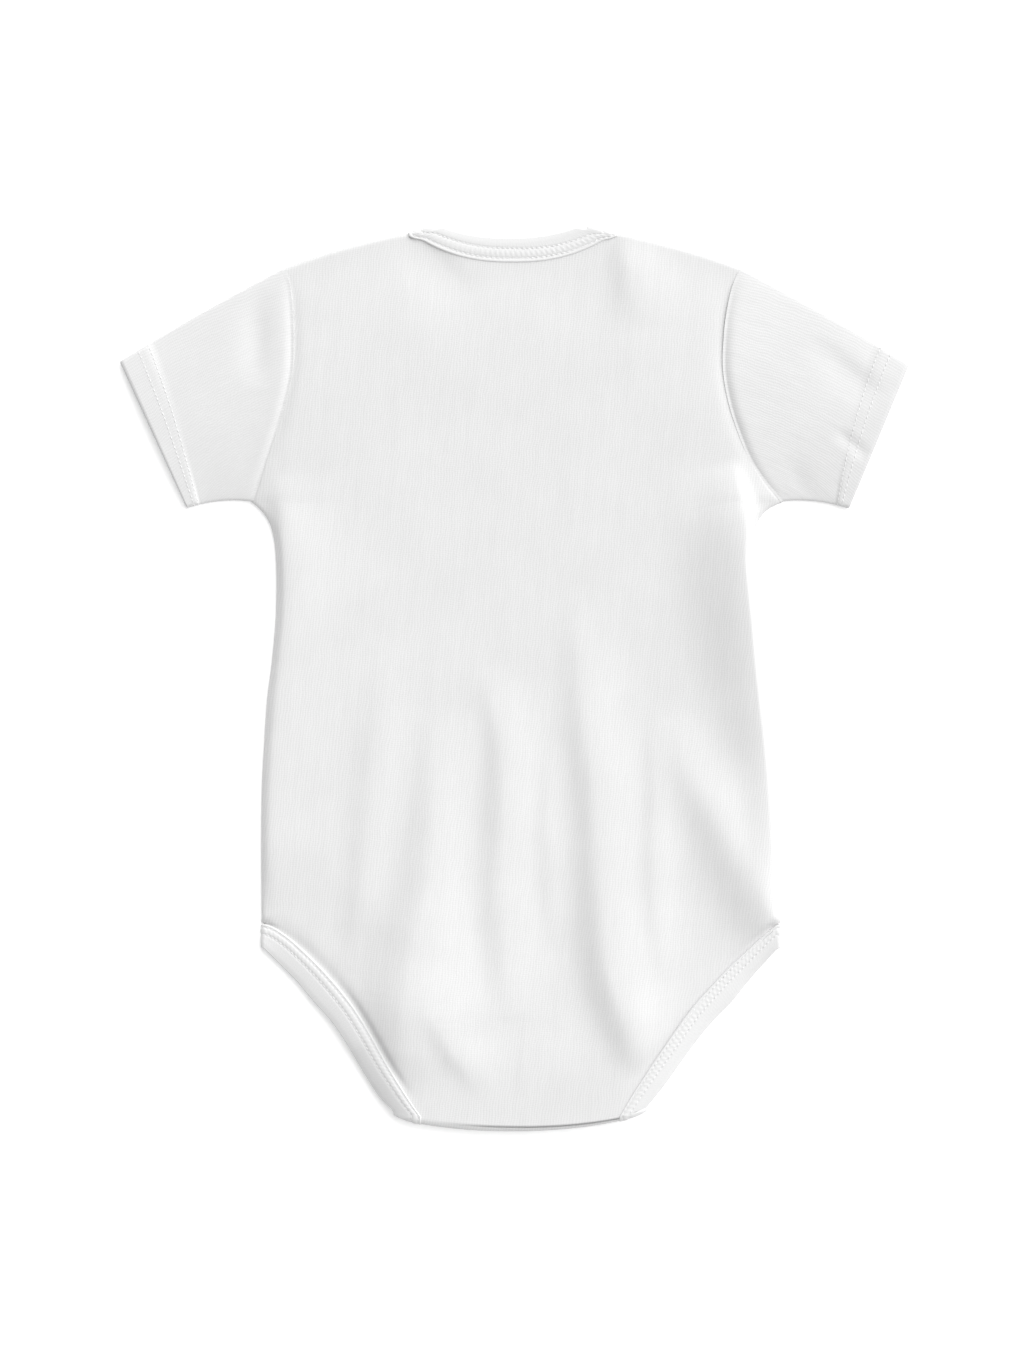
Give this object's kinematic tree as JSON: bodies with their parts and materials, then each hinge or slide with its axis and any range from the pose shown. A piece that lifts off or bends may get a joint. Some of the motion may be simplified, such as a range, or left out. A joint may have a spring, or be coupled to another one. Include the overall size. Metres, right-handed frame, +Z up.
{
  "type": "baby onesie",
  "caption": "Short-sleeved knitted baby bodysuit laid flat on its front, back up, with a rib neck, bound leg openings and a snap crotch folded under.",
  "frame": {"origin": "middle of the garment's outline, on the surface that it lies on", "axes": "+Y from the crotch to the neck, +X to the right as the back is seen from above, +Z up from the surface through the front to the back"},
  "size_m": [0.3586, 0.4115, 0.0106],
  "materials": {
    "knit": "matt white cotton single jersey",
    "rib": "matt white cotton rib, folded over the raw edges",
    "snap": "off-white enamelled snap, low gloss"
  },
  "bodies": {
    "root": {"back_panel": "knit", "front_panel": "knit", "sleeve_left": "knit", "sleeve_right": "knit", "neck_binding": "rib", "leg_binding_left": "rib", "leg_binding_right": "rib", "snap_1_outer_cap": "snap", "snap_1_socket": "snap", "snap_1_stud": "snap", "snap_1_inner_cap": "snap", "snap_2_outer_cap": "snap", "snap_2_socket": "snap", "snap_2_stud": "snap", "snap_2_inner_cap": "snap", "snap_3_outer_cap": "snap", "snap_3_socket": "snap", "snap_3_stud": "snap", "snap_3_inner_cap": "snap"}
  },
  "joints": []
}
